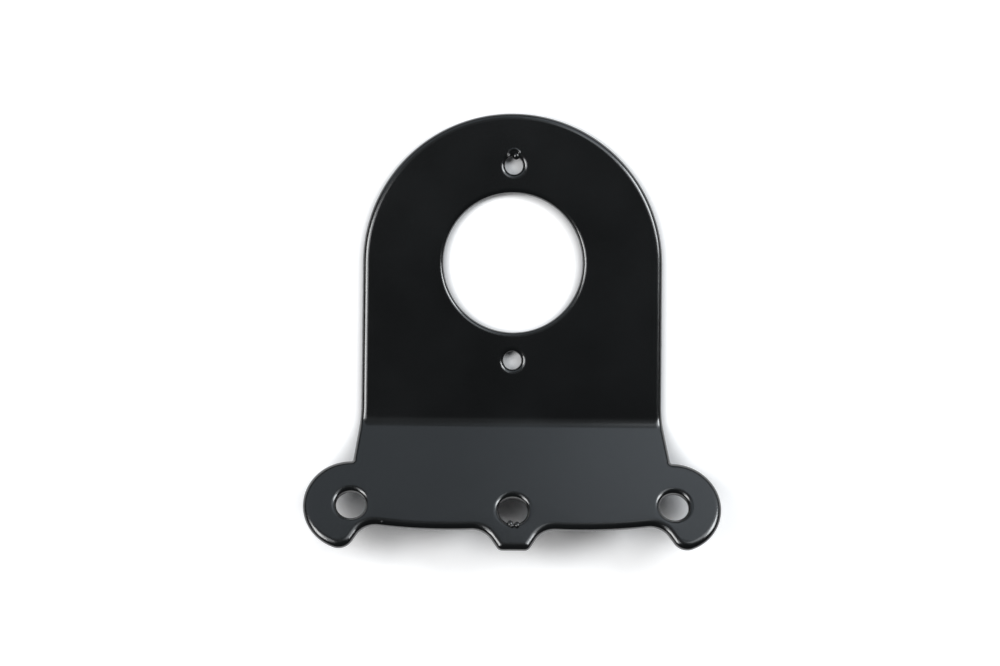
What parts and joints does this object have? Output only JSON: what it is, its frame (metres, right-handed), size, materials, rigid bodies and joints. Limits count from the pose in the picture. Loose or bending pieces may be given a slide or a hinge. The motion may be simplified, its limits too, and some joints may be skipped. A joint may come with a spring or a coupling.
{
  "type": "speedometer bracket",
  "caption": "Folded sheet-steel bracket: a round-topped plate with an instrument hole between stud holes, and an angled flange with eared bolt holes.",
  "frame": {"origin": "centre of the instrument hole, in the plane of the plate's back face", "axes": "+Z out of the plate's front face, +Y towards the plate's round top, with the flange rising from the plate towards -Y"},
  "size_m": [0.1178, 0.1245, 0.0195],
  "materials": {
    "powder_coat": "satin black powder coat on steel sheet"
  },
  "bodies": {
    "root": {"bracket": "powder_coat"}
  },
  "joints": []
}
